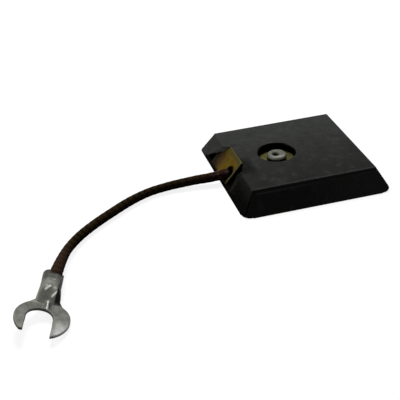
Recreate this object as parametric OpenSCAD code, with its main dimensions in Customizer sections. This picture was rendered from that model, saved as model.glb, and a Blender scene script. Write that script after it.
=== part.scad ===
// Carbon brush: a square graphite block with bevelled sides, a rivet sunk in a
// counterbore, a brass end plate leaning in a notch, and a short flexible lead
// that ends in a crimped fork terminal.
// Millimetres, +Z up. The origin is the centre of the block's underside.

/* [Block] */
// Side of the square underside
block_side = 44.5; // [40:0.5:60]
// Height of the block
block_h = 6.8; // [6:0.1:10]
// How far each side leans in between the underside and the top
bevel_run = 3.75; // [2:0.05:5]
// Radius of the upright corners, where they meet the underside
corner_r = 3; // [1:0.1:6]
// Radius of the one corner that has kept its edge, beside the broken foot
kept_corner_r = 0.6; // [0.2:0.1:1]

/* [Rivet seat] */
// Distance from the block's centre line to the rivet, towards the notch
rivet_offset = 4.75; // [0:0.05:8]
// Diameter of the counterbore in the top
seat_d = 11.3; // [9:0.1:14]
// Depth of the counterbore
seat_depth = 2.6; // [2:0.1:3.2]
// Diameter of the recess for the set end of the rivet, in the underside
tail_recess_d = 8; // [6:0.1:10]
// Depth of that recess
tail_recess_depth = 1.6; // [1.2:0.1:2]

/* [Notch] */
// Distance from the centre line to the notch's near wall
notch_near = 6.6; // [5:0.1:8]
// Distance from the centre line to the notch's far wall, at the top
notch_far = 8; // [6:0.1:9]
// How much further the far wall stands at the foot, where it has flared
notch_flare = 4.2; // [3:0.1:4.6]
// Thickness of the ledge left under the notch
ledge_h = 0.8; // [0.6:0.1:1.2]
// Length of the slanted corner of the near wall, across the notch
notch_corner_w = 3.8; // [1:0.1:5]
// Depth of the slanted corner of the near wall, into the block
notch_corner_d = 1.8; // [0.5:0.1:2]
// Width of the broken foot of the far wall
break_w = 8.5; // [6:0.1:9]
// Height up to which the far wall is broken away
break_h = 5.6; // [3:0.1:6]
// How far the break reaches in from the underside's edge
break_depth = 4.2; // [2:0.1:6]

/* [End plate] */
// Thickness of the brass plate
plate_t = 0.5; // [0.4:0.05:0.8]
// Distance of the plate's top edge from the top edge of the block's side
plate_inset = 1.85; // [1:0.05:2.5]
// Distance from the centre line to the plate's near edge
plate_near = 2.8; // [2.4:0.1:5]
// Gap between the plate's far edge and the notch's far wall
plate_gap = 0.15; // [0.1:0.05:0.5]
// Diameter of the hole that the flexible passes through
plate_hole_d = 4.1; // [3.8:0.1:4.4]
// Height of the hole's centre, and of the socket behind it
plate_hole_z = 2.7; // [2.6:0.05:2.8]

/* [Rivet] */
// Diameter of the rivet's head
head_d = 5.8; // [5:0.1:8]
// Height of the head above the washer
head_h = 1.55; // [0.8:0.05:1.8]
// Diameter of the shank
shank_d = 3.2; // [2.8:0.1:4]
// Diameter of the hole through the rivet
rivet_hole_d = 1.9; // [1.2:0.1:2.2]
// Diameter of the set end
tail_d = 4.9; // [4:0.1:6]
// Height of the set end
tail_h = 0.9; // [0.6:0.1:1.1]
// Clearance of the shank in its hole, all round
shank_gap = 0.1; // [0.05:0.05:0.3]

/* [Washer] */
// Outer diameter of the washer
washer_d = 10.6; // [8:0.1:12]
// Thickness of the washer
washer_t = 0.5; // [0.3:0.05:0.8]

/* [Flexible] */
// Diameter of the flexible
flex_d = 2.6; // [2.2:0.1:3]
// Depth of the hole in which the flexible is set
socket_depth = 4.5; // [4.5:0.1:5]
// Clearance of the flexible in its holes, all round
flex_gap = 0.05; // [0.02:0.01:0.1]

/* [Fork terminal] */
// Width of the fork's slot, for an M6 stud
slot_w = 6.5; // [5.3:0.1:7.5]
// Diameter of the round fork
fork_w = 13.5; // [13:0.1:18]
// Thickness of the fork's sheet
sheet_t = 0.8; // [0.7:0.05:1.1]
// Width of the flattened barrel
barrel_w = 5.3; // [5.2:0.1:6.5]
// Height of the flattened barrel
barrel_h = 3.8; // [3.7:0.1:4.4]
// Length of the barrel
barrel_l = 8; // [7:0.5:8.5]
// Distance from the barrel's mouth to the centre of the slot's round end
slot_centre = 17.6; // [16:0.1:20]
// How far the slot sits beside the barrel's line, towards the raised prong
slot_shift = 1.1; // [0:0.1:1.2]
// Distance from the barrel's mouth to the tip of the longer prong
fork_l = 24.3; // [21:0.1:25]
// How much shorter the other prong is
prong_difference = 1.9; // [0:0.1:3]
// How far the barrel's mouth is cut back aslant, in degrees
mouth_slant = 20; // [0:1:25]
// Diameter of the indent that crimps the barrel's end, across its top
indent_d = 2.6; // [1.6:0.1:3]
// Depth of the indent
indent_depth = 0.6; // [0.3:0.05:0.8]

/* [Hidden] */
$fn = 64;
eps = 0.01;

top_side = block_side - 2 * bevel_run;
rivet_x = -rivet_offset;
seat_z = block_h - seat_depth;
half_bottom = block_side / 2;
half_top = top_side / 2;
outside = half_bottom + 5;

// The end plate leans from the ledge's outer edge up to the top face.
lean_run_per_h = bevel_run / block_h;
plate_foot_x = -(half_bottom - lean_run_per_h * ledge_h);
plate_top_x = -(half_top - plate_inset);
plate_run = plate_top_x - plate_foot_x;
plate_rise = block_h - ledge_h;
plate_slope = atan2(plate_rise, plate_run);
plate_cut = plate_t / sin(plate_slope);
plate_far = notch_far - plate_gap;
plate_hole_x = plate_foot_x + (plate_hole_z - ledge_h) / tan(plate_slope);
notch_end_x = plate_top_x + plate_cut;
fork_shift = 0.4 * slot_shift;
wire_shift = 0.45 * slot_shift;
sheet_drop = (barrel_h - sheet_t) / 2;
closing_l = 2.6;
punch_r = (indent_d * indent_d / 4 + indent_depth * indent_depth) / (2 * indent_depth);
flex_hole_d = flex_d + 2 * flex_gap;

// The route of the flexible, from its blind hole in the block to the inside of
// the terminal's barrel: out of the notch, down to the floor and along it.
flex_route = [
    [-11.5, 0, 2.7], [-15.5, 0, 2.7], [-18.5, 0, 2.7], [-21.4, 0.1, 2.6],
    [-23.5, 0.2, 2.4], [-26, 0.45, 2.15], [-29, 0.9, 1.95], [-33, 1.15, 1.7],
    [-38, 1.2, 1.4], [-43.9, 0.05, 1.3], [-49.9, -2.85, 1.3], [-55.8, -6.9, 1.3],
    [-62.2, -11.8, 1.3], [-67.15, -16.6, 1.4], [-71, -22.15, 1.8],
    [-73.4, -27.35, 2.2], [-74.85, -31.2, 2.5], [-75.66, -33.6, 2.62], [-77, -38.7, 2.9]
];
flex_sides = 8;

// Where the fork terminal lies: the centre of the barrel's mouth, the way it
// points along the floor, how it rises, and how it is rolled onto one prong.
mouth_at = [-76.1, -33.3, 2.75];
heading = 14.5;
rise = 3;
roll = 16;

module tapered_block() {
    intersection() {
        rotate([90, 0, 0])
            linear_extrude(block_side, center = true)
                side_outline();
        rotate([90, 0, 90])
            linear_extrude(block_side, center = true)
                side_outline();
        linear_extrude(block_h)
            rounded_square(block_side, corner_r);
    }
}

module side_outline() {
    polygon([
        [-half_bottom, 0], [half_bottom, 0],
        [half_top, block_h], [-half_top, block_h]
    ]);
}

module rounded_square(side, r) {
    for (turn = [0, 90])
        rotate(turn)
            square([side, side - 2 * r], center = true);
    for (x = [-1, 1], y = [-1, 1])
        translate([x * (side / 2 - r), y * (side / 2 - r)])
            circle(r);
    // the kept corner, on the far side of the notch
    translate([-side / 2, side / 2 - 2 * r]) {
        square([2 * r, 2 * r - kept_corner_r]);
        translate([kept_corner_r, 0])
            square([2 * r - kept_corner_r, 2 * r]);
        translate([kept_corner_r, 2 * r - kept_corner_r])
            circle(kept_corner_r);
    }
}

module notch() {
    translate([0, 0, ledge_h])
        linear_extrude(block_h)
            polygon([
                [-outside, -notch_near],
                [notch_end_x - notch_corner_d, -notch_near],
                [notch_end_x, notch_corner_w - notch_near],
                [notch_end_x, notch_far],
                [-outside, notch_far]
            ]);
}

// The far side of the notch, from the top down to the ledge.
function far_side(y) = [
    [y, block_h], [y + 0.3 * notch_flare, 0.735 * block_h],
    [y + notch_flare, 0.485 * block_h], [y + notch_flare, ledge_h]
];

module far_flare() {
    translate([-outside, 0, 0])
        rotate([90, 0, 90])
            linear_extrude(outside + notch_end_x)
                polygon(concat(far_side(notch_far), [[0, ledge_h], [0, block_h]]));
}

module broken_foot() {
    translate([-outside, 0, 0])
        rotate([90, 0, 90])
            linear_extrude(outside - half_bottom + break_depth)
                polygon([
                    [0, ledge_h], [notch_far + break_w, ledge_h],
                    [notch_far + 0.42 * break_w, 0.68 * break_h],
                    [notch_far, break_h], [0, break_h]
                ]);
}

module carbon_block() {
    color([0.16, 0.16, 0.155])
        difference() {
            tapered_block();
            translate([rivet_x, 0, seat_z])
                cylinder(h = seat_depth + 1, d = seat_d);
            translate([rivet_x, 0, -1])
                cylinder(h = block_h, d = shank_d + 2 * shank_gap);
            translate([rivet_x, 0, -1])
                cylinder(h = tail_recess_depth + 1, d = tail_recess_d);
            notch();
            far_flare();
            broken_foot();
            translate([notch_end_x - 1, 0, plate_hole_z])
                rotate([0, 90, 0])
                    cylinder(h = socket_depth + 1, d = flex_hole_d);
        }
}

module end_plate() {
    color([0.55, 0.43, 0.16])
        difference() {
            intersection() {
                // the sheet, leaning from the ledge up to the top face
                rotate([90, 0, 0])
                    linear_extrude(block_side, center = true)
                        polygon([
                            [plate_foot_x, ledge_h], [plate_foot_x + plate_cut, ledge_h],
                            [plate_top_x + plate_cut, block_h], [plate_top_x, block_h]
                        ]);
                // its outline: straight on the near side, flared on the far side
                translate([-outside, 0, 0])
                    rotate([90, 0, 90])
                        linear_extrude(outside)
                            polygon(concat(
                                far_side(notch_far - plate_gap),
                                [[-plate_near, ledge_h], [-plate_near, block_h]]
                            ));
            }
            translate([plate_hole_x + plate_cut / 2, 0, plate_hole_z])
                rotate([0, -plate_slope, 0])
                    cylinder(h = 6 * plate_t, d = plate_hole_d, center = true);
        }
}

module contact_washer() {
    color([0.5, 0.48, 0.3])
        translate([rivet_x, 0, seat_z])
            difference() {
                cylinder(h = washer_t, d = washer_d);
                translate([0, 0, -1])
                    cylinder(h = washer_t + 2, d = shank_d + 2 * shank_gap);
            }
}

module rivet() {
    head_z = seat_z + washer_t;
    tail_z = tail_recess_depth - tail_h;
    color([0.6, 0.6, 0.58])
        translate([rivet_x, 0, 0])
            rotate_extrude()
                polygon([
                    [rivet_hole_d / 2, tail_z],
                    [0.42 * tail_d, tail_z],
                    [tail_d / 2, tail_z + 0.35 * tail_h],
                    [tail_d / 2, tail_recess_depth],
                    [shank_d / 2, tail_recess_depth],
                    [shank_d / 2, head_z],
                    [head_d / 2, head_z],
                    [head_d / 2, head_z + 0.45 * head_h],
                    [0.44 * head_d, head_z + 0.8 * head_h],
                    [0.34 * head_d, head_z + head_h],
                    [0.5 * rivet_hole_d + 0.35, head_z + head_h],
                    [0.5 * rivet_hole_d, head_z + head_h - 0.35]
                ]);
}

// Unit vectors and the rings of a tube that follows a list of points.
function unit(v) = v / norm(v);
function heading_at(p, i) =
    unit(p[min(i + 1, len(p) - 1)] - p[max(i - 1, 0)]);
function ring(p, i, r, n) =
    let (t = heading_at(p, i), s = unit(cross(t, [0, 0, 1])), u = cross(s, t))
    [for (k = [0 : n - 1])
        let (a = 360 * (k + 0.5) / n) p[i] + r * (cos(a) * s + sin(a) * u)];

module tube(points, d, n) {
    last = len(points) - 1;
    rings = [for (i = [0 : last]) each ring(points, i, d / 2, n)];
    walls = [for (i = [0 : last - 1], k = [0 : n - 1])
        let (a = i * n + k, b = i * n + (k + 1) % n)
            each [[a, b, a + n], [b, b + n, a + n]]];
    start_cap = [for (k = [n - 1 : -1 : 0]) k];
    end_cap = [for (k = [0 : n - 1]) last * n + k];
    polyhedron(rings, concat([start_cap], walls, [end_cap]));
}

module flexible() {
    color([0.25, 0.16, 0.1])
        tube(flex_route, flex_d, flex_sides);
}

// The fork terminal is drawn along +X from the barrel's mouth, with the
// barrel's axis on X, and then laid where it rests.
module lay_terminal() {
    translate(mouth_at)
        rotate([0, 0, -90 - heading])
            rotate([0, -rise, 0])
                rotate([-roll, 0, 0])
                    children();
}

module fork_sheet() {
    shoulder_x = slot_centre - 0.36 * fork_w;
    linear_extrude(sheet_t, center = true)
        difference() {
            union() {
                translate([slot_centre, -fork_shift])
                    circle(d = fork_w);
                // the shoulders between the barrel and the fork
                polygon([
                    [barrel_l, -barrel_w / 2], [barrel_l + closing_l, -0.57 * barrel_w],
                    [shoulder_x, -0.33 * fork_w - fork_shift],
                    [shoulder_x, 0.33 * fork_w - fork_shift],
                    [barrel_l + closing_l, 0.57 * barrel_w], [barrel_l, barrel_w / 2]
                ]);
            }
            translate([slot_centre, -slot_shift])
                circle(d = slot_w);
            translate([slot_centre, -slot_shift - slot_w / 2])
                square([fork_l, slot_w]);
            tip_cut(1, fork_l);
            tip_cut(-1, fork_l - prong_difference);
        }
}

// What is cut off the tip of the prong on one side.
module tip_cut(side, reach) {
    translate([reach + fork_w / 2, side * fork_w / 2 - slot_shift])
        square(fork_w, center = true);
}

module flattened_barrel(length) {
    rotate([90, 0, 90])
        linear_extrude(length) {
            square([barrel_w - barrel_h, barrel_h], center = true);
            for (side = [-1, 1])
                translate([side * (barrel_w - barrel_h) / 2, 0])
                    circle(d = barrel_h, $fn = 32);
        }
}

module barrel_form() {
    flattened_barrel(barrel_l);
    // the barrel closes down onto the sheet
    hull() {
        translate([barrel_l - 1, 0, 0])
            flattened_barrel(1);
        translate([barrel_l + closing_l - 0.5, 0, -sheet_drop])
            cube([1, 1.14 * barrel_w, sheet_t], center = true);
    }
}

module fork_terminal() {
    color([0.62, 0.62, 0.59])
        lay_terminal()
            difference() {
                union() {
                    barrel_form();
                    translate([0, 0, -sheet_drop])
                        fork_sheet();
                }
                translate([-1, wire_shift, 0])
                    rotate([0, 90, 0])
                        cylinder(h = barrel_l - 1.5, d = flex_hole_d);
                translate([0, 0, -barrel_h / 2])
                    rotate([0, mouth_slant, 0])
                        translate([-barrel_w, -barrel_w, -eps])
                            cube([barrel_w, 2 * barrel_w, 2 * barrel_h]);
                // the indent, a round-nosed punch mark past the wires' end
                translate([barrel_l - indent_d / 2, 0, barrel_h / 2 - indent_depth + punch_r])
                    sphere(punch_r);
            }
}

carbon_block();
end_plate();
contact_washer();
rivet();
flexible();
fork_terminal();
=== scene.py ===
# %% [markdown]
# A carbon brush: a square graphite block that slides on a moving contact, with
# a brass plate and a rivet set in it, and a short flexible that carries the
# current to a fork terminal. The solids come packed from the CAD model as a
# fixed frame. This script could build everything anew, but then nothing would
# promise that the looks fit the real sizes. So it gives the solids their real
# surfaces, and the first thing it does is load them.

# %% Load the frame
import bpy
import math
import numpy as np
from mathutils import Euler, Matrix, Vector, noise


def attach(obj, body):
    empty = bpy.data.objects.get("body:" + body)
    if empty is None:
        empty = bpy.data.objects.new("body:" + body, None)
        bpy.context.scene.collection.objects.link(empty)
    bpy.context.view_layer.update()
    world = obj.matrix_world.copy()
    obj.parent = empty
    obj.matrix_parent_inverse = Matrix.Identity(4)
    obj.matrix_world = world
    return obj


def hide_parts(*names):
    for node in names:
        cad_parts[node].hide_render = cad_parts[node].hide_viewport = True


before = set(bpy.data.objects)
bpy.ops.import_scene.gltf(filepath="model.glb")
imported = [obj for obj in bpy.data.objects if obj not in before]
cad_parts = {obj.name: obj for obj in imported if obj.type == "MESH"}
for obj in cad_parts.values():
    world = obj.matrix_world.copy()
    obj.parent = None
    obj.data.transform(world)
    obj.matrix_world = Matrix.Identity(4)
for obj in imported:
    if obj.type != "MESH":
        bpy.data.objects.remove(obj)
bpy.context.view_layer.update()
MM = 0.001

# %% [markdown]
# The camera looks down on the block's near side and a little from the left,
# where the notch and the flexible are, from about thirty degrees above the
# table. A long lens keeps the bevelled sides nearly parallel. It could be aimed
# at a point, but the part lies flat and level, so a position and three angles
# say plainly how it stands.

# %% Camera
CAMERA_AT = (-0.08537, -0.23266, 0.13904)
ELEVATION, AZIMUTH, CAMERA_ROLL = 30.95, 13.64, 3.66

scene = bpy.context.scene
lens = bpy.data.cameras.new("camera")
lens.sensor_width = 36
lens.lens = 84.8
lens.clip_start = 0.01
lens.clip_end = 20
camera = bpy.data.objects.new("camera", lens)
scene.collection.objects.link(camera)
turn = Euler((math.radians(90 - ELEVATION), 0, math.radians(-AZIMUTH))).to_matrix()
turn = turn @ Matrix.Rotation(math.radians(-CAMERA_ROLL), 3, "Z")
camera.matrix_world = Matrix.Translation(CAMERA_AT) @ turn.to_4x4()
scene.camera = camera
scene.view_settings.view_transform = "Standard"
print("camera at", [round(v, 3) for v in camera.matrix_world.translation])

# %% [markdown]
# Every finish below is a small tree of nodes. Such a tree can be drawn by hand
# in Blender's editor, or written out node by node, but both get long. A few
# helpers keep it readable instead: the first ones add a node, start a finish
# with a shader and the piece's own coordinates in mm, and end it.

# %% Start and end a finish
def add(tree, kind, inputs=(), **settings):
    """Adds a node. inputs maps a socket's name or number to a value or a socket."""
    n = tree.nodes.new(kind)
    for key, value in settings.items():
        setattr(n, key, value)
    for key, value in dict(inputs).items():
        if isinstance(value, bpy.types.NodeSocket):
            tree.links.new(value, n.inputs[key])
        else:
            n.inputs[key].default_value = value
    return n


def start_finish(name):
    """A new material with its tree, its shader and the piece's coordinates in mm."""
    m = bpy.data.materials.new(name)
    m.use_nodes = True
    t = m.node_tree
    t.nodes.clear()
    shader = add(t, "ShaderNodeBsdfPrincipled")
    add(t, "ShaderNodeOutputMaterial", {"Surface": shader.outputs[0]})
    where = add(t, "ShaderNodeTexCoord").outputs["Object"]
    in_mm = add(t, "ShaderNodeVectorMath", {0: where, "Scale": 1 / MM}, operation="SCALE")
    return m, t, shader, in_mm.outputs[0]


def end_finish(t, shader, colour, roughness, normal, metallic, specular):
    """Links what varies over the piece, and sets what is the same all over it."""
    t.links.new(colour, shader.inputs["Base Color"])
    t.links.new(roughness, shader.inputs["Roughness"])
    t.links.new(normal, shader.inputs["Normal"])
    shader.inputs["Metallic"].default_value = metallic
    shader.inputs["Specular IOR Level"].default_value = specular


print("a finish can be started and ended")

# %% [markdown]
# Wear, painted shade and painted highlights each have a place: painted shade in a
# notch and in a corner, a painted highlight under an edge. They could be painted on a
# picture, but then the piece would need an unwrapped surface, and it would only be
# as sharp as that picture. Here each mark is a mask instead, a number from 0 to 1
# that is worked out from where a point is, and several masks multiplied give a
# smaller place.

# %% Noise and masks
def cloud(t, where, scale, detail=3.0, roughness=0.5, stretch=None):
    """A noise from 0 to 1, with scale patches to a millimetre."""
    if stretch:
        where = add(t, "ShaderNodeVectorMath", {0: where, 1: stretch}, operation="MULTIPLY").outputs[0]
    n = add(t, "ShaderNodeTexNoise",
            {"Vector": where, "Scale": scale, "Detail": detail, "Roughness": roughness})
    return n.outputs["Fac"]


def calc(t, kind, a, b=0.5, c=0.5):
    """One of Blender's sums on up to three values."""
    return add(t, "ShaderNodeMath", {0: a, 1: b, 2: c}, operation=kind).outputs[0]


def plus(t, value, share, other):
    """value + share * other, which leans or roughens a mask's edge."""
    return calc(t, "ADD", value, calc(t, "MULTIPLY", other, share))


def span(t, value, low, high, to_low=0.0, to_high=1.0):
    """Maps value smoothly from low..high to to_low..to_high."""
    n = add(t, "ShaderNodeMapRange",
            {"Value": value, "From Min": low, "From Max": high, "To Min": to_low, "To Max": to_high},
            interpolation_type="SMOOTHSTEP")
    return n.outputs[0]


def all_of(t, *masks):
    """1 only where every mask is 1: their product."""
    value = masks[0]
    for mask in masks[1:]:
        value = calc(t, "MULTIPLY", value, mask)
    return value


def line_at(t, value, centre, half_width):
    """1 on a thin line where value is centre, fading to 0 beside it."""
    away = calc(t, "ABSOLUTE", calc(t, "SUBTRACT", value, centre))
    return span(t, away, half_width, 0.3 * half_width)


print("masks can be made")

# %% [markdown]
# A mask then chooses between two colours, or a noise becomes a bump. A bump only
# changes how the surface catches the light, not its shape, and that is enough
# for grain that is finer than the mesh.

# %% Colours and relief
def blend(t, amount, a, b):
    """Colour a where amount is 0, colour b where it is 1."""
    n = add(t, "ShaderNodeMix", data_type="RGBA", blend_type="MIX")
    for socket, value in ((n.inputs[0], amount), (n.inputs[6], a), (n.inputs[7], b)):
        if isinstance(value, bpy.types.NodeSocket):
            t.links.new(value, socket)
        else:
            socket.default_value = (*value, 1) if isinstance(value, tuple) else value
    return n.outputs[2]


def relief(t, height, depth_mm, under=None):
    """A bump of that depth, over another one where given."""
    inputs = {"Height": height, "Distance": depth_mm * MM, "Strength": 1.0}
    if under is not None:
        inputs["Normal"] = under
    return add(t, "ShaderNodeBump", inputs).outputs[0]


def axes(t, where):
    """x, y and z of a place."""
    n = add(t, "ShaderNodeSeparateXYZ", {0: where})
    return n.outputs[0], n.outputs[1], n.outputs[2]


print("colours can be mixed")

# %% [markdown]
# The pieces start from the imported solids, so they sit exactly where the CAD
# model puts them. Real edges are never as sharp as a solid's: pressed graphite
# crumbles a little, stamped brass has a rolled edge. A bevel modifier could
# round them, but it fails where many small faces meet. So a copy of the solid
# is remeshed into small even cells and relaxed, and then each point can also
# be moved by a rule, to add wear. The CAD solid stays hidden under the copy.

# %% Remesh a copy
def finished_copy(node, name, cell_mm, relax=2, move=None, more=None, flat=None):
    """A remeshed copy of a CAD node with soft edges; move(p, n) shifts points in mm.
    more is a list of points and faces in mm that is fused with it. flat is the turn
    that lays a leaning sheet level, so that the cells line up with it."""
    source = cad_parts[node]
    mesh = source.data.copy()
    if more:
        points, faces = more
        start = len(mesh.vertices)
        old_points = [tuple(v.co) for v in mesh.vertices]
        old_faces = [tuple(f.vertices) for f in mesh.polygons]
        mesh = bpy.data.meshes.new(name)
        mesh.from_pydata(old_points + [tuple(c * MM for c in q) for q in points], [],
                         old_faces + [tuple(i + start for i in f) for f in faces])
    if flat:
        mesh.transform(flat)
    piece = bpy.data.objects.new(name, mesh)
    piece.matrix_world = source.matrix_world.copy()
    scene.collection.objects.link(piece)
    cells = piece.modifiers.new("cells", "REMESH")
    cells.mode = "VOXEL"
    cells.voxel_size = cell_mm * MM
    soften = piece.modifiers.new("soften", "SMOOTH")
    soften.factor = 0.5
    soften.iterations = relax
    graph = bpy.context.evaluated_depsgraph_get()
    made = bpy.data.meshes.new_from_object(piece.evaluated_get(graph))
    piece.modifiers.clear()
    piece.data = made
    if flat:
        made.transform(flat.inverted())
        made.update()
    if move:
        before = [(v.co / MM, v.normal.copy()) for v in made.vertices]
        for v, (p, n) in zip(made.vertices, before):
            v.co += Vector(move(p, n)) * MM
    made.polygons.foreach_set("use_smooth", [True] * len(made.polygons))
    made.update()
    print(name, "has", len(made.polygons), "faces")
    return piece


# %% [markdown]
# A finished piece takes the place of its solid on the frame. It gets its
# finish and the body it moves with. The part has no joints, so every piece
# moves with the root. This could be written out for each piece, but then one of
# them might be left out.

# %% Seat a piece on the frame
def seat(piece, finish, slot_name, *nodes):
    """Gives a piece its finish, and puts it on the frame in place of its nodes."""
    piece.data.materials.clear()
    piece.data.materials.append(finish)
    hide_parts(*nodes)
    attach(piece, "root")
    print(piece.name, "is seated with", finish.name)


print("pieces can be seated")

# %% [markdown]
# The flexible is a rope of fine copper wires. It is soft, so it leaves the
# block, comes down to the table under its own weight and lies along it in one
# bend up to the terminal. A simulation could drop it, but it wouldn't end up in
# the terminal. Its line is a smooth curve through chosen points, the same ones
# that the CAD tube follows.

# %% Line of the flexible
FLEX_D = 2.6
ROUTE = [
    (-11.5, 0, 2.7), (-15.5, 0, 2.7), (-18.5, 0, 2.7), (-21.4, 0.1, 2.6),
    (-23.5, 0.2, 2.4), (-26, 0.45, 2.15), (-29, 0.9, 1.95), (-33, 1.15, 1.7),
    (-38, 1.2, 1.4), (-43.9, 0.05, 1.3), (-49.9, -2.85, 1.3), (-55.8, -6.9, 1.3),
    (-62.2, -11.8, 1.3), (-67.15, -16.6, 1.4), (-71, -22.15, 1.8),
    (-73.4, -27.35, 2.2), (-74.85, -31.2, 2.5), (-75.66, -33.6, 2.62), (-77, -38.7, 2.9),
]


def smooth_line(points, spacing):
    """Points about every spacing mm along a smooth curve, and the curve's length."""
    p = [Vector(q) for q in points]
    p = [2 * p[0] - p[1]] + p + [2 * p[-1] - p[-2]]
    dense = []
    for a, b, c, d in zip(p, p[1:], p[2:], p[3:]):
        for k in range(24):
            t = k / 24
            dense.append(0.5 * (2 * b + (c - a) * t + (2 * a - 5 * b + 4 * c - d) * t * t
                                + (3 * b - a - 3 * c + d) * t ** 3))
    dense.append(p[-2])
    run = [0.0]
    for a, b in zip(dense, dense[1:]):
        run.append(run[-1] + (b - a).length)
    stops = np.linspace(0, run[-1], round(run[-1] / spacing) + 1)
    line = np.array([[np.interp(s, run, [q[k] for q in dense]) for k in range(3)] for s in stops])
    return line, run[-1]


flex_line, flex_length = smooth_line(ROUTE, 0.22)
print("the flexible is", round(flex_length, 1), "mm long")

# %% [markdown]
# Seen close, the wires lie in flat bundles that run round the rope both ways
# and cross over and under each other. Each wire could be a curve of its own,
# but that is far too heavy for a lead this thin. A bump would be light, but it
# leaves the outline smooth. So a rule gives the height of the bundles at each
# place on the rope, which the next step turns into real relief.

# %% Relief of the braid
BUNDLES, PITCH, WIRES = 6, 13.0, 4


def braid_height(turn_part, along):
    """Height of the braid from 0 to 1, at that part of a turn and that many mm along."""
    best = np.zeros_like(turn_part)
    for side in (1, -1):
        phase = BUNDLES * (turn_part + side * along / PITCH)
        other = BUNDLES * (turn_part - side * along / PITCH)
        across = phase % 1.0
        over = 0.5 + 0.5 * side * np.cos(np.pi * (np.floor(phase) + other))
        hump = np.clip(1 - (2 * across - 1) ** 4, 0, 1)
        wire = 0.80 + 0.20 * np.abs(np.sin(np.pi * WIRES * across))
        best = np.maximum(best, hump * wire * (0.45 + 0.55 * over))
    return best


print(2 * BUNDLES, "bundles of", WIRES, "wires each")

# %% [markdown]
# The rope isn't equally thick all along: it swells where it leaves the plate,
# and again before the terminal. A curve with a round bevel could follow its
# line, but not its relief. So rings of points are laid along the line, and each
# point's radius follows the thickness there and the height of the braid.

# %% Sweep the braid
# mm along the flexible, and how thick it is there, as a share of its diameter
THICKNESS = [(0, 1.0), (6, 1.0), (9, 1.2), (12, 1.12), (20, 1.04), (28, 0.98), (34, 0.97), (42, 1.02),
             (69, 1.0), (73, 1.10), (77, 1.21), (80, 1.30), (81.5, 1.30), (82.5, 1.0), (flex_length, 0.98)]


def tube_faces(rings, sides):
    """Faces of a tube with closed ends, whose points come ring by ring."""
    faces = []
    for i in range(rings - 1):
        for k in range(sides):
            a, b = i * sides + k, i * sides + (k + 1) % sides
            faces.append((a, b, b + sides, a + sides))
    faces.append(tuple(range(sides - 1, -1, -1)))
    faces.append(tuple((rings - 1) * sides + k for k in range(sides)))
    return faces


def flexible_mesh(sides=72):
    """The braid swept along its line. It keeps its height and its upper side as values."""
    rings = len(flex_line)
    along = np.linspace(0, flex_length, rings)
    tangent = np.gradient(flex_line, axis=0)
    tangent /= np.linalg.norm(tangent, axis=1)[:, None]
    beside = np.cross(tangent, [0, 0, 1.0])
    beside /= np.linalg.norm(beside, axis=1)[:, None]
    above = np.cross(beside, tangent)
    grid_turn, grid_along = np.meshgrid(np.arange(sides) / sides, along)
    height = braid_height(grid_turn, grid_along)
    thick = np.interp(along, *zip(*THICKNESS))
    radius = FLEX_D / 2 * thick[:, None] * (0.95 + 0.05 * height)
    angle = 2 * np.pi * grid_turn
    outward = (np.cos(angle)[..., None] * beside[:, None, :]
               + np.sin(angle)[..., None] * above[:, None, :])
    points = (flex_line[:, None, :] + radius[..., None] * outward).reshape(-1, 3) * MM
    mesh = bpy.data.meshes.new("flexible_braid")
    mesh.from_pydata(points.tolist(), [], tube_faces(rings, sides))
    mesh.polygons.foreach_set("use_smooth", [True] * len(mesh.polygons))
    for name, values in (("crest", height), ("top", np.sin(angle))):
        mesh.attributes.new(name, "FLOAT", "POINT").data.foreach_set("value", values.reshape(-1))
    mesh.update()
    return mesh


flexible = bpy.data.objects.new("flexible_braid", flexible_mesh())
scene.collection.objects.link(flexible)
print("the flexible has", len(flexible.data.polygons), "faces")

# %% [markdown]
# Old bare copper wire turns brown, nearly black in the gaps, and its crests
# are rubbed to a dull reddish shine. One brown all over would look like rubber.
# The height of the braid is stored on the mesh, so the colour can follow it.
# Near the block the wires are rustier, and pale pinkish spots on them are painted
# highlights where strands catch the light. Where they go into the plate's hole
# they are painted black as shade, and the rope's underside is painted nearly
# black as shade.

# %% Finish of the flexible
copper, t, shader, where = start_finish("aged_copper_braid")
x, y, z = axes(t, where)
crest = add(t, "ShaderNodeAttribute", attribute_name="crest").outputs["Fac"]
top = add(t, "ShaderNodeAttribute", attribute_name="top").outputs["Fac"]
patches = cloud(t, where, 0.35, 3)
grain = cloud(t, where, 6.0, 2)

rusty = all_of(t, span(t, x, -34, -22), span(t, patches, 0.3, 0.55))
# painted highlights: pale pinkish spots where strands catch the light
strand_highlights = all_of(t, span(t, x, -26, -21.5), span(t, cloud(t, where, 1.1, 2), 0.5, 0.62))
near_terminal = all_of(t, span(t, x, -68, -74), span(t, crest, 0.2, 0.9, 0.4, 0.9))
# painted shade: the underside of the rope is nearly black
braid_underside_shade = span(t, top, 0.0, -0.6)
# painted shade where the wires go into the plate's hole
hole_shade = span(t, x, -20.3, -19.6)

brown = blend(t, span(t, crest, 0.3, 0.95), (0.0110, 0.0068, 0.0034), (0.0290, 0.0180, 0.0085))
brown = blend(t, rusty, brown, (0.032, 0.0145, 0.0110))
brown = blend(t, span(t, patches, 0.45, 0.75, 0, 0.5), brown, (0.034, 0.0245, 0.0125))
brown = blend(t, near_terminal, brown, (0.042, 0.0250, 0.0160))
brown = blend(t, strand_highlights, brown, (0.115, 0.066, 0.062))
brown = blend(t, braid_underside_shade, brown, (0.0022, 0.0012, 0.0008))
brown = blend(t, hole_shade, brown, (0.0012, 0.0008, 0.0006))
end_finish(t, shader, brown, span(t, grain, 0.3, 0.7, 0.55, 0.8), relief(t, grain, 0.03),
           metallic=0.0, specular=0.0)
seat(flexible, copper, "stranded_lead", "flexible")

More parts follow.
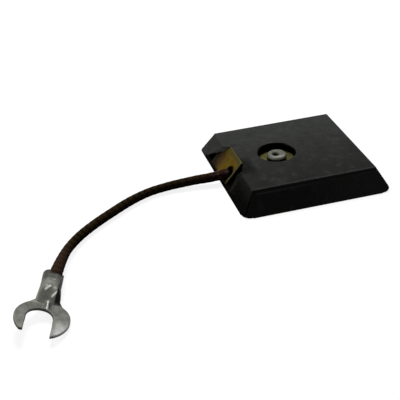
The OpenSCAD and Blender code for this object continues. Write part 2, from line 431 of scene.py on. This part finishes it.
# %% [markdown]
# The block is pressed and machined graphite. Its edges have crumbled a little,
# and one foot beside the notch has broken away in a rough hollow. The edge of
# the notch's wall above it has worn to a facet that meets the plate, and the
# top edge has worn back beside the plate's near corner. Such wear could be
# sculpted by hand, but a rule that says where and how deep can be read and
# changed: coarse noise in the break, a sloping surface for the facet, a small
# shift for the worn edge, and a very shallow noise all over.

# %% Block
HALF, HEIGHT = 22.25, 6.8
LEAN = 3.75 / HEIGHT
FACET_DEEP, FACET_WIDE = 1.5, 1.1


def step(x, low, high):
    """0 below low, 1 above high, smooth between."""
    t = min(max((x - low) / (high - low), 0.0), 1.0)
    return t * t * (3 - 2 * t)


def wear_block(p, n):
    """How a point of the graphite has moved through wear, in mm."""
    coarse = noise.noise(Vector(p) * 0.9)
    fine = noise.noise(Vector(p) * 2.6)
    from_bevel = p.x + HALF - LEAN * p.z
    broken = (step(from_bevel, 0.1, 0.9) * step(-16.0 - p.x, 0, 1.0) * step(p.y, 10.6, 12.0)
              * step(18.0 - p.y, 0, 1.5) * step(4.4 - p.z, 0, 0.8))
    move = Vector(n) * (0.014 * fine + broken * (0.3 * coarse + 0.15 * fine))
    # the facet starts at the wall, whose line on the bevel bends at a height of 5 mm
    wall_y = 8.0 + (0.7 * (HEIGHT - p.z) if p.z > 5 else 1.26 + 1.73 * (5 - p.z))
    facet = (1.0 - (p.y - wall_y) / FACET_WIDE) * (FACET_DEEP - 0.2 * (HEIGHT - p.z))
    if p.x < -16 and wall_y - 0.5 < p.y < wall_y + FACET_WIDE and facet > from_bevel:
        move.x += (min(facet, FACET_DEEP) - from_bevel) * step(p.z, 3.5, 4.3)
    # the top edge beside the plate's near corner
    worn = (step(-16.2 - p.x, 0, 1.0) * step(p.y, -11.0, -7.2) * step(-5.6 - p.y, 0, 0.8)
            * step(p.z, 5.6, 6.6))
    move += Vector((0.35, -0.1, -0.35)) * worn * step(p.x + 19.2, 0, 0.6)
    # nothing goes below the table
    move.z = max(move.z, -p.z)
    return move


block = finished_copy("carbon_block", "graphite_block", 0.25, 2, wear_block)

# %% [markdown]
# Graphite has no colour of its own beyond a soft dark grey, so most of what
# shows is wear and painted sheen. An even grey looks like plastic. The top is
# painted palest at the far end and darker at the near end, a painted sheen of the
# pale room at a low angle, with broad soft clouds and a fine speckle of dust from
# pressing. Noise of several sizes gives all of that without a picture.

# %% Grain of the graphite
graphite, t, shader, where = start_finish("pressed_graphite")
x, y, z = axes(t, where)
clouds = cloud(t, where, 0.14, 4, 0.6)
broad = cloud(t, where, 0.33, 3, 0.6)
speckle = cloud(t, where, 1.3, 4, 0.6)
dust = cloud(t, where, 7.0, 2, 0.5)

# painted sheen: paler towards the far end, where the room reflects at a low angle
far_end_sheen = span(t, plus(t, y, 14.0, clouds), -12.0, 26.0)
grey = blend(t, far_end_sheen, (0.0215, 0.0218, 0.0208), (0.0415, 0.0436, 0.0410))
grey = blend(t, span(t, broad, 0.52, 0.7, 0, 0.3), grey, (0.060, 0.062, 0.060))
grey = blend(t, span(t, broad, 0.46, 0.3, 0, 0.35), grey, (0.014, 0.014, 0.014))
grey = blend(t, span(t, speckle, 0.5, 0.75, 0, 0.06), grey, (0.058, 0.059, 0.056))
grey = blend(t, span(t, speckle, 0.48, 0.3, 0, 0.35), grey, (0.013, 0.013, 0.0125))
print("grain of", graphite.name)

# %% [markdown]
# The near part of the left end of the block, beside the lead, is painted nearly
# black, darker towards the bottom. A reddish streak on it is a painted reflection,
# with a dark scored line beside it. They run down the bevel, so their masks follow
# a line whose y changes a little with its height.

# %% Dark left end
# a near black, used below as painted shade inside the notch and at the foot
NEAR_BLACK = (0.0016, 0.0015, 0.0014)

from_bevel = calc(t, "SUBTRACT", calc(t, "ADD", x, HALF), calc(t, "MULTIPLY", z, LEAN))
left_end = all_of(t, span(t, x, -18.1, -18.9), span(t, from_bevel, 0.5, 0.25))
near_part = span(t, plus(t, y, 2.0, speckle), -3.0, -6.0)
mottled = all_of(t, span(t, speckle, 0.52, 0.7), span(t, z, 0.5, 3.0))
# painted reflection: a reddish streak down the bevel
reddish_reflection = all_of(t, line_at(t, plus(t, y, 0.16, z), -7.35, 0.75), span(t, speckle, 0.3, 0.55),
                     span(t, z, 5.2, 3.6))
scored = all_of(t, line_at(t, plus(t, y, 0.3, z), -8.65, 0.5), span(t, z, 5.2, 4.0))

# darker towards the bottom of the left end's near part
dark_left_end = blend(t, span(t, z, 2.8, 6.6), (0.0016, 0.0016, 0.0014), (0.0105, 0.0103, 0.0090))
dark_left_end = blend(t, mottled, dark_left_end, (0.014, 0.0125, 0.0110))
dark_left_end = blend(t, reddish_reflection, dark_left_end, (0.060, 0.030, 0.028))
dark_left_end = blend(t, scored, dark_left_end, (0.0018, 0.0018, 0.0018))
grey = blend(t, all_of(t, left_end, near_part), grey, dark_left_end)

smudge = all_of(t, span(t, x, -12.4, -15.2), span(t, y, 2.0, -2.5), span(t, y, -11.0, -7.0),
                span(t, speckle, 0.25, 0.6, 0.35, 0.95))
grey = blend(t, smudge, grey, (0.0085, 0.0085, 0.0075))
print("soot on the left end, and a smudge beside the plate")

# %% [markdown]
# Inside the notch little light gets in, so it is painted black as shade, and the
# foot of the left end is painted black too. The worn facet is painted pale, as
# painted light on the wall's worn edge. The depth behind the bevel tells the notch
# from the outside.

# %% Inside the notch
worn_facet = all_of(t, span(t, y, 7.0, 7.6), span(t, z, 3.2, 3.7))
# painted shade: black inside the notch
notch_shade = all_of(t, span(t, from_bevel, 0.1, 0.45), span(t, z, 6.45, 5.9), span(t, x, -13.5, -14.5),
                  calc(t, "SUBTRACT", 1.0, worn_facet), span(t, y, -10.6, -9.6), span(t, y, 19.4, 18.4))
# painted light: the worn facet is pale so that it reads as lit
facet_painted_light = all_of(t, worn_facet, span(t, from_bevel, 0.05, 0.2), span(t, x, -15.6, -16.2),
                    span(t, y, 13.6, 12.8), span(t, z, 6.7, 6.5))
foot = all_of(t, left_end, span(t, z, 1.3, 0.7), span(t, y, 18.5, 17.0))

grey = blend(t, notch_shade, grey, NEAR_BLACK)
grey = blend(t, facet_painted_light, grey, (0.125, 0.125, 0.108))
grey = blend(t, foot, grey, NEAR_BLACK)
print("soot in the notch")

# %% [markdown]
# The wall of the counterbore is blacker still, because light hardly gets in
# beside the washer. Its mask is a distance from the rivet's axis, a little wider
# at the far rim, where the edge has rounded over and would catch the light.

# %% Wall of the counterbore
RIVET_X, SEAT_R = -4.75, 5.65

flat_place = add(t, "ShaderNodeCombineXYZ", {0: calc(t, "SUBTRACT", x, RIVET_X), 1: y}).outputs[0]
from_rivet = add(t, "ShaderNodeVectorMath", {0: flat_place}, operation="LENGTH").outputs["Value"]
bore = all_of(t, span(t, from_rivet, SEAT_R + 0.35, SEAT_R + 0.15), span(t, z, 6.72, 6.5))
far_rim = all_of(t, span(t, from_rivet, SEAT_R + 0.55, SEAT_R + 0.3), span(t, y, 2.5, 5.0))
grey = blend(t, calc(t, "MAXIMUM", bore, far_rim), grey, (0.0006, 0.0006, 0.0006))
print("counterbore of radius", SEAT_R)

# %% [markdown]
# The near face is painted a little paler towards the right. Just under its top
# edge run a dark scratch and a pale line, a painted highlight where a small ridge
# catches the light, and the edge itself has a thin painted highlight. They could be
# cut into the mesh, but they have hardly any depth, so they are colour, and the
# speckle breaks up the pale ones.

# %% Near face, and the end of the graphite
near_face = span(t, y, -18.45, -18.75)
# paler towards the right of the near face
paler_right = all_of(t, near_face, span(t, x, -8.0, 16.0), span(t, speckle, 0.3, 0.55, 0.4, 1.0))
dark_scratch = all_of(t, near_face, line_at(t, z, 6.25, 0.25))
fading = all_of(t, span(t, x, 10.0, -14.0, 0.1, 1.0), span(t, x, -18.2, -16.8))
# painted highlight: a pale line where a small ridge catches the light
ridge_highlight = all_of(t, near_face, line_at(t, z, 5.65, 0.35), fading,
                      span(t, speckle, 0.25, 0.5, 0.4, 1.0))
# painted highlight: a thin pale line along the top edge
edge_highlight = all_of(t, line_at(t, y, -18.4, 0.4), span(t, z, 6.45, 6.65),
                  span(t, speckle, 0.3, 0.55, 0.3, 1))

grey = blend(t, paler_right, grey, (0.037, 0.0372, 0.036))
grey = blend(t, dark_scratch, grey, (0.020, 0.020, 0.019))
grey = blend(t, ridge_highlight, grey, (0.050, 0.050, 0.048))
grey = blend(t, edge_highlight, grey, (0.048, 0.049, 0.048))
end_finish(t, shader, grey, span(t, speckle, 0.3, 0.7, 0.6, 0.75),
           relief(t, speckle, 0.035, relief(t, dust, 0.03)), metallic=0.0, specular=0.004)
seat(block, graphite, "graphite", "carbon_block")

# %% [markdown]
# The end plate is thin sheet brass that leans in the notch and guides the
# flexible where it leaves. It was cut and pushed in, so it is slightly wavy,
# and its far edge presses against the graphite. A plane with a modifier for
# thickness would do for a new plate. The remeshed copy takes the waves as well,
# and it is laid level for the remesh, because cells that cross a thin leaning
# sheet would leave steps in it.

# %% End plate
PLATE_RISE, PLATE_RUN = 6.0, 5.16


def dent_plate(p, n):
    """A slightly wavy sheet, whose far edge lies against the block."""
    move = Vector(n) * (0.02 * noise.noise(Vector(p) * 0.8))
    if n.y > 0.3:
        move.y += 0.08 * step(p.z, 3.4, 4.2)
    return move


plate_level = Matrix.Rotation(math.atan2(PLATE_RISE, PLATE_RUN), 4, "Y")
plate = finished_copy("end_plate", "brass_end_plate", 0.1, 2, dent_plate, flat=plate_level)

# %% [markdown]
# Bare brass goes dull yellow. Here the middle is still golden and the top rim
# is olive. The near rim is paler and greyer, a painted highlight along its edge.
# The lower far corner is painted brown and nearly black, the painted shadow of
# the notch's far wall. Below the lead lies its painted shadow, and the rim of the
# hole is painted black as shade. The bottom of the sheet is painted darker. Fully
# metallic brass would mirror the pale room, so the tarnished sheet is mostly a
# plain dull colour with a little metal in it.

# %% Finish of the plate
plate_brass, t, shader, where = start_finish("dull_brass_sheet")
x, y, z = axes(t, where)
patches = cloud(t, where, 0.5, 3)
grain = cloud(t, where, 5.0, 3, 0.6, (1, 6, 1))
hole_at = (-19.3, -0.25, 3.0)

towards_far = plus(t, y, 2.4, patches)
# painted shadow of the notch's far wall: brown in its soft edge, nearly black close to the wall
wall_penumbra = all_of(t, span(t, towards_far, 6.4, 9.2), span(t, z, 6.0, 4.6))
lower_far = calc(t, "SUBTRACT", towards_far, calc(t, "MULTIPLY", z, 0.5))
wall_shadow = span(t, lower_far, 7.6, 10.2)
# painted shadow of the lead on the plate below it
lead_shadow = all_of(t, span(t, z, 2.6, 1.2), span(t, y, 1.6, 0.4), span(t, y, -2.3, -1.5))
foot = all_of(t, span(t, z, 1.5, 0.9), span(t, y, 1.0, 2.4, 0.6, 1.0))
from_hole = add(t, "ShaderNodeVectorMath", {0: where, 1: hole_at}, operation="DISTANCE").outputs["Value"]

tone = blend(t, span(t, patches, 0.3, 0.7), (0.076, 0.046, 0.0040), (0.102, 0.066, 0.0070))
tone = blend(t, span(t, z, 5.6, 6.5), tone, (0.055, 0.047, 0.016))
# painted highlight: the near rim is paler and greyer along its edge
tone = blend(t, span(t, y, -1.9, -2.6), tone, (0.062, 0.060, 0.024))
tone = blend(t, wall_penumbra, tone, (0.048, 0.0270, 0.0080))
tone = blend(t, wall_shadow, tone, (0.012, 0.0080, 0.0050))
tone = blend(t, lead_shadow, tone, (0.003, 0.0025, 0.002))
tone = blend(t, foot, tone, (0.010, 0.0065, 0.003))
# painted shade: the rim of the hole is black
tone = blend(t, span(t, from_hole, 2.25, 1.9), tone, (0.003, 0.0022, 0.0015))
end_finish(t, shader, tone, span(t, grain, 0.3, 0.7, 0.45, 0.65), relief(t, grain, 0.012),
           metallic=0.2, specular=0.0)
seat(plate, plate_brass, "brass_plate", "end_plate")

# %% [markdown]
# In the counterbore lies a brass washer, and on it the rolled head of a hollow
# rivet. A rolling tool never leaves a perfect ring: the head's edge is lifted
# nearly level with its middle, and its hole is a little off centre. The copy of
# the solid is moved to match. A lathe modifier could make the head from a
# profile, but it can't put the hole off centre.

# %% Washer and rivet
HEAD_FROM, HEAD_FULL = 5.0, 5.3
HOLE_R = 1.9


def tiny_dents(p, n):
    """The small unevenness of a pressed metal part."""
    return Vector(n) * (0.012 * noise.noise(Vector(p) * 1.5))


def roll_head(p, n):
    """The rivet's head as the rolling tool left it."""
    move = tiny_dents(p, n)
    if p.z > HEAD_FROM:
        r = math.hypot(p.x - RIVET_X, p.y)
        move.z += 0.1 + 0.42 * step(r, HOLE_R, 2.8) * step(p.z, HEAD_FROM, HEAD_FULL)
        move.x -= 0.32 * step(HOLE_R - r, 0, 1.0)
    return move


washer = finished_copy("contact_washer", "brass_washer", 0.12, 1, tiny_dents)
rivet = finished_copy("rivet", "hollow_rivet", 0.09, 1, roll_head)

# %% [markdown]
# The washer is pale yellow brass, dull and slightly uneven, and painted darker
# on the right as the shade of the counterbore's wall. One colour would do for so
# small a piece, but it would look printed. A soft noise between two shades of
# the same yellow makes it look like metal.

# %% Finish of the washer
washer_brass, t, shader, where = start_finish("pale_brass_washer")
x, y, z = axes(t, where)
patches = cloud(t, where, 0.8, 3)
grain = cloud(t, where, 9.0, 3)
tone = blend(t, span(t, patches, 0.3, 0.7), (0.052, 0.050, 0.015), (0.078, 0.072, 0.024))
# painted shade of the counterbore's wall on the right of the washer
tone = blend(t, span(t, x, -3.5, 0.5, 0, 0.55), tone, (0.030, 0.026, 0.009))
end_finish(t, shader, tone, span(t, grain, 0.3, 0.7, 0.5, 0.65), relief(t, grain, 0.01),
           metallic=0.4, specular=0.0)
seat(washer, washer_brass, "brass_washer", "contact_washer")

# %% [markdown]
# The rivet is plated, so it is a brighter grey, dull from handling. Its near
# side is paler in patches, and under the head it is painted nearly black as
# shade, where its side faces away from the lamps. Shade has no thickness, so it
# is a dark colour below a certain height.

# %% Finish of the rivet
rivet_metal, t, shader, where = start_finish("dull_plated_rivet")
x, y, z = axes(t, where)
patches = cloud(t, where, 0.9, 3)
grain = cloud(t, where, 8.0, 3)
near_side = all_of(t, span(t, y, -0.4, -2.4), span(t, patches, 0.2, 0.6, 0.7, 1.0))
tone = blend(t, span(t, patches, 0.3, 0.7), (0.066, 0.065, 0.054), (0.100, 0.098, 0.084))
tone = blend(t, near_side, tone, (0.175, 0.178, 0.152))
# painted shade under the head
tone = blend(t, span(t, z, 5.72, 5.5), tone, (0.004, 0.004, 0.003))
end_finish(t, shader, tone, span(t, grain, 0.3, 0.7, 0.55, 0.7), relief(t, grain, 0.01),
           metallic=0.5, specular=0.05)
seat(rivet, rivet_metal, "rivet_metal", "rivet")

# %% [markdown]
# The terminal is stamped from copper sheet, rolled into a barrel at one end and
# tinned. The barrel has been squeezed on the wires, so its end slopes down onto
# the flat fork. It lies turned, raised and rolled on the table, so all its
# shaping is done in its own directions: x from the barrel's mouth to the tips,
# y to the right as the camera sees it, z up from the sheet. It could be shaped
# in the directions of the table, but then no rule about it would be simple.

# %% How the terminal lies
MOUTH = Vector((-76.1, -33.3, 2.75))
HEADING, RISE, ROLL = 14.5, 3.0, 16.0
lie = (Matrix.Rotation(math.radians(-90 - HEADING), 3, "Z")
       @ Matrix.Rotation(math.radians(-RISE), 3, "Y")
       @ Matrix.Rotation(math.radians(-ROLL), 3, "X"))
stand = lie.transposed()
terminal_level = stand.to_4x4() @ Matrix.Translation(-MOUTH * MM)
print("the terminal points along", [round(v, 2) for v in lie.col[0]])

# %% [markdown]
# The barrel's end is a loft: rings of points that keep to the sheet below while
# their upper side comes down and they get a little wider. The remesh fuses it
# with the solid. It could be modelled by pulling points by hand, but a few
# heights and widths along the barrel say the same in a few lines.

# %% The barrel's closed end
END_X, END_L, SHEET_LOW = 4.6, 8.4, -1.87


def closed_end(rings=34, sides=32, squareness=0.75):
    """Points and faces of the barrel's end, which narrows down onto the sheet."""
    points = []
    for i in range(rings):
        x = END_X + END_L * i / (rings - 1)
        left = 2.60 + 0.25 * step(x, 8, 9.6)
        right = 2.60 + 0.35 * step(x, 8, 11)
        high = 3.3 + 0.55 * step(x, END_X, 6.2) - 3.1 * step(x, 8.4, 12.8)
        for k in range(sides):
            c, s = math.cos(2 * math.pi * k / sides), math.sin(2 * math.pi * k / sides)
            y = (right if c > 0 else left) * math.copysign(abs(c) ** squareness, c)
            z = SHEET_LOW + high * (0.5 + 0.5 * math.copysign(abs(s) ** squareness, s))
            points.append(tuple(lie @ Vector((x, y, z)) + MOUTH))
    return points, tube_faces(rings, sides)


print("the closed end has", len(closed_end()[0]), "points")

# %% [markdown]
# The crimping tool has left a shallow dent that lies aslant across the barrel,
# with a raised rim on both sides, and a rib that runs from there into the fork.
# The barrel's mouth is cut aslant, and the tips reach a little further than the
# solid's. All this could be sculpted by hand, but each is one smooth bump or
# shift, and their sum moves the points.

# %% Fork terminal
CRIMP_X, CRIMP_Y = 9.3, 0.4
CRIMP_ALONG, CRIMP_ACROSS = (-0.88, 0.48), (0.48, 0.88)


def shape_terminal(p, n):
    """How a point of the terminal has moved through crimping and use, in mm."""
    q = stand @ (Vector(p) - MOUTH)
    upward = step((stand @ Vector(n)).z, 0.05, 0.55)
    off_x, off_y = q.x - CRIMP_X, q.y - CRIMP_Y
    along = CRIMP_ALONG[0] * off_x + CRIMP_ALONG[1] * off_y
    across = CRIMP_ACROSS[0] * off_x + CRIMP_ACROSS[1] * off_y
    dent = math.exp(-(along / 1.9) ** 2 - (across / 0.9) ** 2)
    rim = math.exp(-(along / 1.6) ** 2 - ((abs(across) - 1.45) / 0.5) ** 2)
    rib = math.exp(-((q.y - 0.15) / 0.6) ** 2) * step(q.x, 11.2, 12.4) * step(15.0 - q.x, 0, 1.8)
    mouth_cut = 2.6 * step(q.y, -1.7, -0.3) * step(q.z, 0.1, 1.0)
    shift = Vector((0, 0, 0))
    shift.z += upward * (0.10 * rim - 0.32 * dent)
    shift.z += 0.35 * upward * rib
    shift.x += 0.11 * max(q.x - 16.0, 0.0)
    shift.x += max(mouth_cut - q.x, 0.0)
    wave = 0.07 * noise.noise(Vector(p) * 0.33) + 0.02 * noise.noise(Vector(p) * 0.9)
    return lie @ shift + Vector(n) * wave


terminal = finished_copy("fork_terminal", "tinned_fork_terminal", 0.13, 4, shape_terminal,
                         closed_end(), terminal_level)

# %% [markdown]
# Old tin is a pale, slightly greenish grey, dull and patchy. The barrel has
# darkened with handling, the right-hand tip is painted much paler as a painted
# highlight, and the waist before the fork is the dullest. These masks use the
# terminal's own directions, which a dot product with each of its axes gives.

# %% Tin
tin, t, shader, where = start_finish("dull_tinned_sheet")
from_mouth = add(t, "ShaderNodeVectorMath", {0: where, 1: tuple(MOUTH)}, operation="SUBTRACT").outputs[0]
length_on, side_on, up_on = [
    add(t, "ShaderNodeVectorMath", {0: from_mouth, 1: tuple(axis)}, operation="DOT_PRODUCT").outputs["Value"]
    for axis in lie.col]
patches = cloud(t, where, 0.5, 3)
grain = cloud(t, where, 4.0, 3, 0.6)
soft = cloud(t, where, 0.9, 2, 0.5)

handled = all_of(t, span(t, length_on, 6.0, 4.5), span(t, side_on, 1.2, 0.2, 0.2, 1.0))
# painted highlight on the right-hand tip
tip_highlight = all_of(t, span(t, length_on, 17, 24), span(t, side_on, 1.5, 4.0, 0, 0.8))
slope = all_of(t, span(t, length_on, 5.0, 7.0), span(t, length_on, 12.4, 11.4),
               span(t, soft, 0.3, 0.6, 0.6, 1.0))
waist = all_of(t, span(t, length_on, 11.8, 12.8), span(t, length_on, 16.5, 14.0),
               span(t, side_on, 2.5, 0.5, 0.2, 0.75))

tone = blend(t, span(t, patches, 0.35, 0.65), (0.072, 0.074, 0.064), (0.105, 0.108, 0.096))
tone = blend(t, handled, tone, (0.038, 0.040, 0.034))
tone = blend(t, tip_highlight, tone, (0.34, 0.345, 0.33))
tone = blend(t, slope, tone, (0.125, 0.128, 0.110))
tone = blend(t, waist, tone, (0.050, 0.053, 0.044))
print("tin on", terminal.name)

# %% [markdown]
# Two short lines beside the dent are painted bright as highlights, where its
# rims catch the lamps, and a fainter painted highlight runs along the rib. A
# short line has a middle, a turn, a length and a width, so one function makes
# the mask of each.

# %% Painted highlight lines
# middle x and y, turn in degrees, half length, half width, and how bright
HIGHLIGHT_LINES = [(9.0, -0.6, 137, 1.15, 0.34, 0.60), (10.1, 1.35, 135, 1.2, 0.34, 0.60),
          (13.0, 0.2, 2, 1.9, 0.34, 0.26)]


def highlight(x_mid, y_mid, turned, half_length, half_width):
    """1 on a short line on the sheet, turned by that many degrees from the barrel's line."""
    c, s = math.cos(math.radians(turned)), math.sin(math.radians(turned))
    x_off, y_off = calc(t, "SUBTRACT", length_on, x_mid), calc(t, "SUBTRACT", side_on, y_mid)
    ahead = calc(t, "ADD", calc(t, "MULTIPLY", x_off, c), calc(t, "MULTIPLY", y_off, s))
    aside = calc(t, "SUBTRACT", calc(t, "MULTIPLY", y_off, c), calc(t, "MULTIPLY", x_off, s))
    on_length = span(t, calc(t, "ABSOLUTE", ahead), half_length, 0.5 * half_length)
    return all_of(t, line_at(t, aside, 0.0, half_width), on_length)


# each line is a painted highlight
for *place, shine in HIGHLIGHT_LINES:
    tone = blend(t, highlight(*place), tone, (shine, 1.01 * shine, 0.95 * shine))
print(len(HIGHLIGHT_LINES), "rubbed lines")

# %% [markdown]
# The barrel's right flank is painted nearly black as shade, on a band that
# widens towards the fork, and so is the mouth where the wires go in. The sheet's
# underside and the lower part of its edges are painted darker than its top, as
# shade. A band can be a single mask on a leaning side, so none of this needs a
# picture.

# %% Painted shade on the flank, mouth and underside, and the end of the tin
leaning_side = plus(t, side_on, 0.07, length_on)
# painted shade on the barrel's right flank
flank_shade = all_of(t, span(t, leaning_side, 2.2, 2.55), span(t, up_on, -1.35, -1.15),
               span(t, length_on, 12.6, 11.4))
# painted shade at the mouth around the wires
mouth_shade = all_of(t, span(t, length_on, 3.4, 2.8), span(t, side_on, -1.5, -0.8), span(t, up_on, -0.6, 0.0))
# painted shade on the underside and the lower part of the edges
tin_underside_shade = span(t, up_on, -1.3, -1.45)

tone = blend(t, flank_shade, tone, (0.008, 0.008, 0.007))
tone = blend(t, mouth_shade, tone, (0.010, 0.0075, 0.004))
tone = blend(t, tin_underside_shade, tone, (0.040, 0.041, 0.035))
end_finish(t, shader, tone, span(t, soft, 0.3, 0.7, 0.44, 0.52),
           relief(t, soft, 0.04, relief(t, grain, 0.0015)), metallic=0.6, specular=0.1)
seat(terminal, tin, "tinned_terminal", "fork_terminal")

# %% [markdown]
# A lead is soft, and whoever uses the part has to know how it can bend: where
# the lead leaves the block, how long and thick it is, and which piece is fixed
# to its far end. The first 5 mm lie in the block's socket.

print("the flexible is a soft lead")

# %% [markdown]
# The part lies on a pale table in a pale room. A white floor under strong light
# would throw that light back on the dark sides and grey them. So the floor is
# white only to the camera, to reflections and through glass, where it still
# keeps the part's shadow, and it is a dull grey to the light that bounces.

# %% Table
def seen_directly(t):
    """1 for rays from the camera, and for reflected and transmitted ones."""
    path = add(t, "ShaderNodeLightPath")
    seen = calc(t, "MAXIMUM", path.outputs["Is Camera Ray"], path.outputs["Is Glossy Ray"])
    return calc(t, "MAXIMUM", seen, path.outputs["Is Transmission Ray"])


TABLE_HALF = 3.0
table_mesh = bpy.data.meshes.new("table")
table_mesh.from_pydata([(a * TABLE_HALF, b * TABLE_HALF, 0) for a, b in ((-1, -1), (1, -1), (1, 1), (-1, 1))],
                       [], [(0, 1, 2, 3)])
table = bpy.data.objects.new("table", table_mesh)
table.location = (0, 0, -0.0001)
scene.collection.objects.link(table)

table_paint = bpy.data.materials.new("pale_table")
table_paint.use_nodes = True
t = table_paint.node_tree
t.nodes.clear()
dark = add(t, "ShaderNodeBsdfDiffuse", {"Color": (0.12, 0.12, 0.12, 1)})
pale = add(t, "ShaderNodeBsdfDiffuse", {"Color": (0.2, 0.2, 0.2, 1)})
white = add(t, "ShaderNodeEmission", {"Color": (1, 1, 1, 1), "Strength": 0.86})
shown = add(t, "ShaderNodeAddShader", {0: pale.outputs[0], 1: white.outputs[0]})
pick = add(t, "ShaderNodeMixShader", {0: seen_directly(t), 1: dark.outputs[0], 2: shown.outputs[0]})
add(t, "ShaderNodeOutputMaterial", {"Surface": pick.outputs[0]})
table_mesh.materials.append(table_paint)
print("table", 2 * TABLE_HALF, "m wide")

# %% [markdown]
# One soft lamp stands behind and above the part, so its top is lit and the
# sides towards the viewer stay dark, which shows the bevels best. A weaker lamp
# from the left lights the left bevel and gives the metal its soft shine. The
# room adds a little light from all sides, and is white where it is seen.

# %% Light
world = bpy.data.worlds.new("studio")
scene.world = world
world.use_nodes = True
t = world.node_tree
t.nodes.clear()
faint = add(t, "ShaderNodeBackground", {"Color": (1, 1, 1, 1), "Strength": 0.1})
plain = add(t, "ShaderNodeBackground", {"Color": (1, 1, 1, 1), "Strength": 1.0})
pick = add(t, "ShaderNodeMixShader", {0: seen_directly(t), 1: faint.outputs[0], 2: plain.outputs[0]})
add(t, "ShaderNodeOutputWorld", {"Surface": pick.outputs[0]})


def lamp(name, place, power, size=0.3, aim=(-0.03, 0, 0)):
    """A square lamp that shines on the part."""
    data = bpy.data.lights.new(name, "AREA")
    data.shape = "SQUARE"
    data.size = size
    data.energy = power
    o = bpy.data.objects.new(name, data)
    scene.collection.objects.link(o)
    o.location = place
    o.rotation_euler = (Vector(aim) - Vector(place)).to_track_quat("-Z", "Y").to_euler()
    return o


lamps = [lamp("back_lamp", (0.07, 0.412, 0.678), 5.4), lamp("left_lamp", (-0.59, 0.245, 0.336), 2.0)]
print("lamps:", [o.name for o in lamps])
